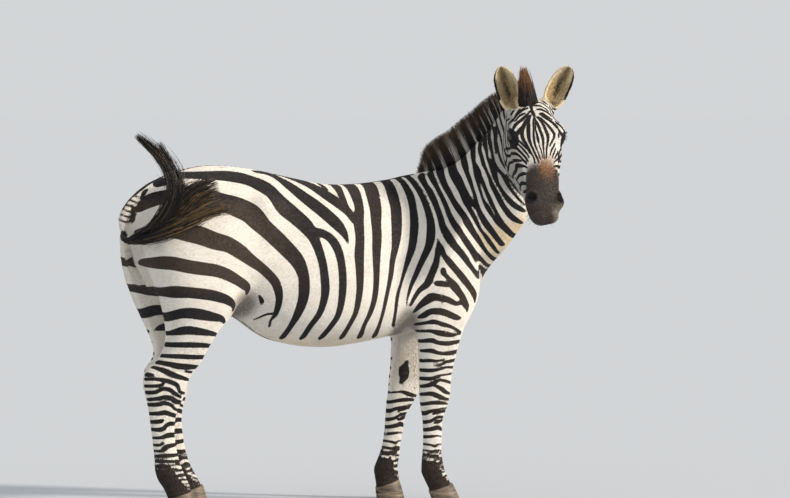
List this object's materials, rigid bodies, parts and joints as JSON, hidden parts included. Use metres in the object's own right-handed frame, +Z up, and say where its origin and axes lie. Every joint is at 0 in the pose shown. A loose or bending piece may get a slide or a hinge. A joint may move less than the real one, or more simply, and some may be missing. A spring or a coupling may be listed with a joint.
{
  "type": "standing zebra",
  "caption": "Life-size plains zebra standing still on its four hooves, head turned to look back over the right shoulder and tail swept across the haunch.",
  "frame": {"origin": "middle of the underside of the figure's box, on the floor that it stands on", "axes": "+X the way the chest faces, +Y the animal's left side, +Z up"},
  "size_m": [1.781, 0.8576, 1.7073],
  "materials": {
    "coat": "short striped fur, matt",
    "black_hair": "stiff upright hair, matt",
    "tail_hair": "long loose hair, satin",
    "eye": "wet gloss",
    "hoof": "dusty horn"
  },
  "bodies": {
    "root": {"ear_left": "coat", "ear_right": "coat", "eye_left": "eye", "eye_right": "eye", "foreleg_left": "coat", "foreleg_right": "coat", "forelock": "black_hair", "head": "coat", "hindleg_left": "coat", "hindleg_right": "coat", "hoof_front_left": "hoof", "hoof_front_right": "hoof", "hoof_hind_left": "hoof", "hoof_hind_right": "hoof", "mane": "black_hair", "neck": "coat", "tail_dock": "coat", "tail_switch": "tail_hair", "trunk": "coat"}
  },
  "joints": []
}
